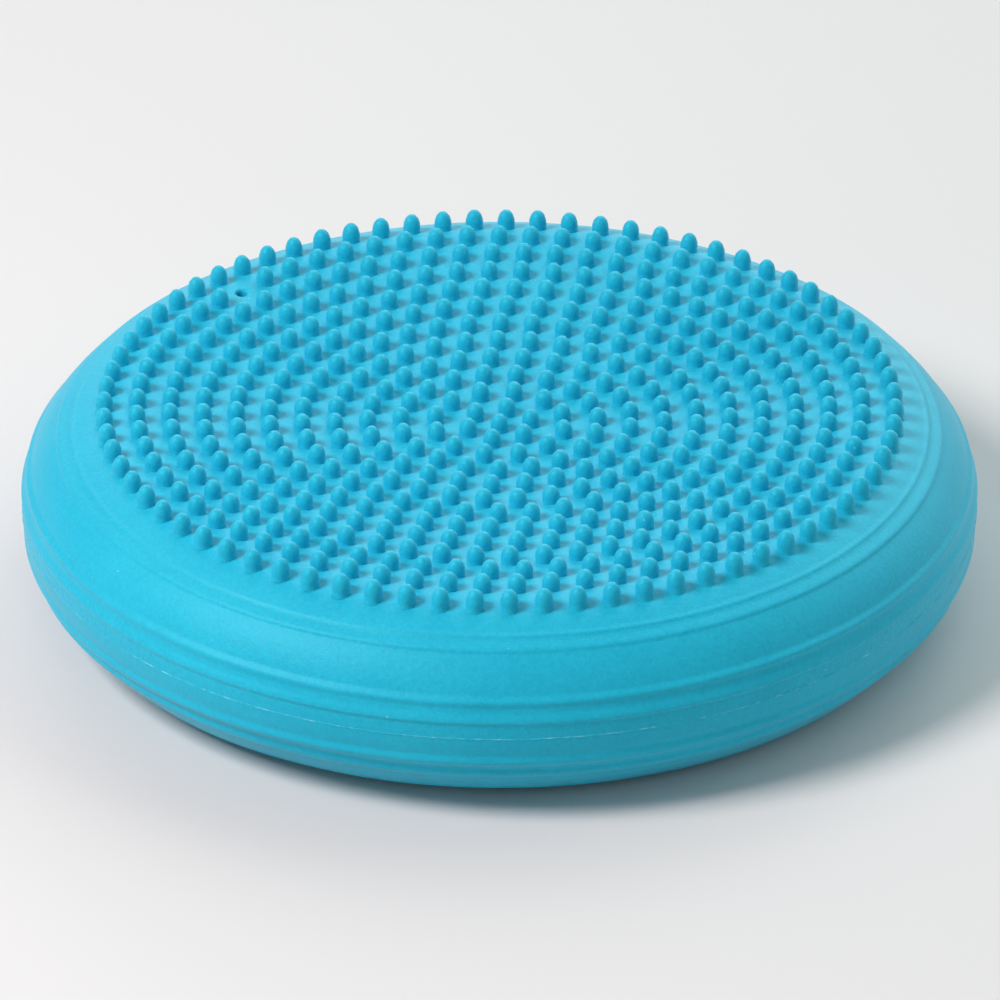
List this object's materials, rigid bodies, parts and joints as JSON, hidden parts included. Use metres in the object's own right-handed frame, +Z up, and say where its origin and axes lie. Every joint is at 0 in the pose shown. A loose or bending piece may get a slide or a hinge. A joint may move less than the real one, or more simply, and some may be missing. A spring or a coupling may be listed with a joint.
{
  "type": "wobble cushion",
  "caption": "Round air-filled balance cushion with a soft moulded skin, a dished top covered in rings of small knobs, a ribbed rim and a needle valve.",
  "frame": {"origin": "the point under the cushion's centre on the surface that it rests on", "axes": "+Z up through the centre of the top, +X to the right and +Y to the back, with the valve at 137 degrees from +X towards +Y"},
  "size_m": [0.33, 0.33, 0.0729],
  "materials": {
    "skin": "soft matte moulded vinyl, cyan blue, with a fine pebble grain",
    "valve_rubber": "dark teal rubber"
  },
  "bodies": {
    "base": {"underside": "skin"},
    "lower_rim": {"lower_wall": "skin"},
    "upper_rim": {"upper_wall": "skin"},
    "top": {"knobbed_top": "skin", "valve_insert": "valve_rubber"}
  },
  "joints": [
    {"name": "press", "type": "slide", "parent": "base", "child": "lower_rim", "axis": [0, 0, -1], "range_m": [0, 0.006], "stiffness_N_per_m": 30000, "deforming": ["lower_wall"]},
    {"name": "tilt_fore_aft", "type": "hinge", "parent": "lower_rim", "child": "upper_rim", "pos_m": [0, 0, 0.033], "axis": [1, 0, 0], "range_deg": [-4, 4], "stiffness_Nm_per_rad": 60, "deforming": ["upper_wall"]},
    {"name": "tilt_side", "type": "hinge", "parent": "upper_rim", "child": "top", "pos_m": [0, 0, 0.033], "axis": [0, 1, 0], "range_deg": [-4, 4], "stiffness_Nm_per_rad": 60}
  ]
}
